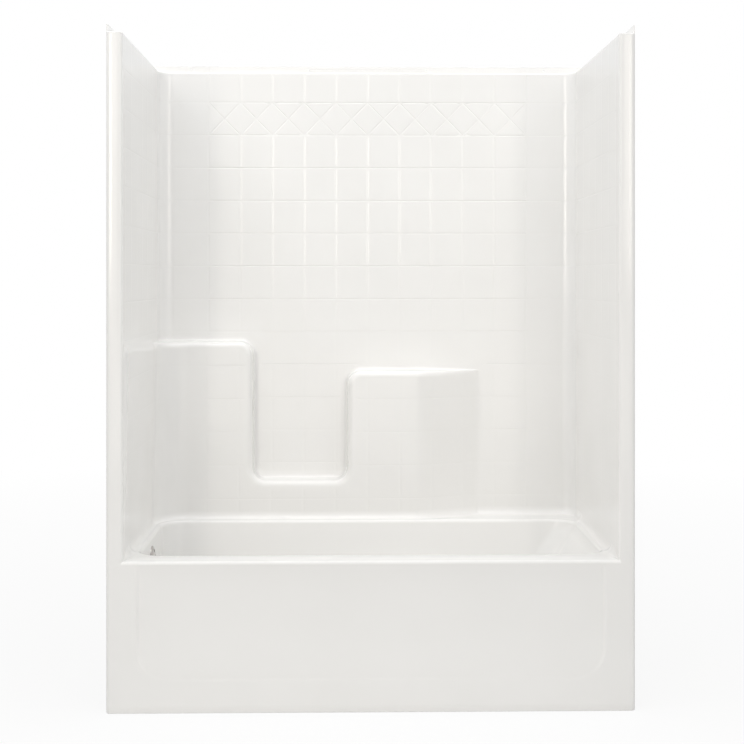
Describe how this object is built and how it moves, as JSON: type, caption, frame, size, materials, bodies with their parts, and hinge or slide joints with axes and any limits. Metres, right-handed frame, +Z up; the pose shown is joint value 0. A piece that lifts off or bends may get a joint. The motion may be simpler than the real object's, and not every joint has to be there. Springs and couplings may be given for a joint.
{
  "type": "tub and shower combo",
  "caption": "Sectional fibreglass bath with apron and tile-patterned shower walls, moulded ledges, bottle recess, and a trip-lever waste and overflow.",
  "frame": {"origin": "bottom centre of the whole unit's box, on the floor plane", "axes": "+X to the right seen from the front, +Y to the back wall, +Z up"},
  "size_m": [1.524, 0.813, 1.981],
  "materials": {
    "gelcoat": "glossy white gelcoat over glass fibre laminate",
    "tape": "closed-cell foam tape and rubber rings",
    "zinc_steel": "zinc-plated and stainless steel",
    "plywood": "raw plywood and strand board",
    "softwood": "sawn softwood",
    "chrome": "polished chrome plate",
    "brass": "bare brass",
    "pipe": "moulded white pipe plastic"
  },
  "bodies": {
    "unit": {"tub_section": "gelcoat", "back_wall_section": "gelcoat", "left_wall_section": "gelcoat", "right_wall_section": "gelcoat", "seam_gasket": "tape", "seam_bolts": "zinc_steel", "seam_washers": "zinc_steel", "seam_nuts": "zinc_steel", "back_wall_board": "plywood", "left_wall_board": "plywood", "right_wall_board": "plywood", "floor_board": "plywood", "floor_runners": "softwood", "apron_battens": "softwood", "deck_posts": "softwood", "overflow_plate": "chrome", "plate_screws": "chrome", "lever_bracket": "brass", "lever_pin": "zinc_steel", "overflow_gasket": "tape", "overflow_elbow": "pipe", "overflow_tube": "pipe", "waste_tee": "pipe", "drain_shoe": "pipe", "shoe_gasket": "tape", "drain_flange": "chrome", "strainer_grid": "chrome", "strainer_screw": "chrome", "slip_nuts": "pipe", "slip_washers": "tape", "tailpiece": "pipe"},
    "lever": {"trip_lever": "chrome"},
    "linkage": {"link_wire": "zinc_steel", "linkage_rod": "brass", "rod_nut": "brass", "plunger": "brass"}
  },
  "joints": [
    {"name": "lever_swing", "type": "hinge", "parent": "unit", "child": "lever", "pos_m": [-0.699, -0.028, 0.37], "axis": [0, -1, 0], "range_deg": [0, 40]},
    {"name": "plunger_drop", "type": "slide", "parent": "unit", "child": "linkage", "axis": [0, 0, -1], "range_m": [0, 0.0192]}
  ],
  "couplings": [
    {"joint": "lever_swing", "follows": "plunger_drop", "rad_per_m": 36.3}
  ]
}
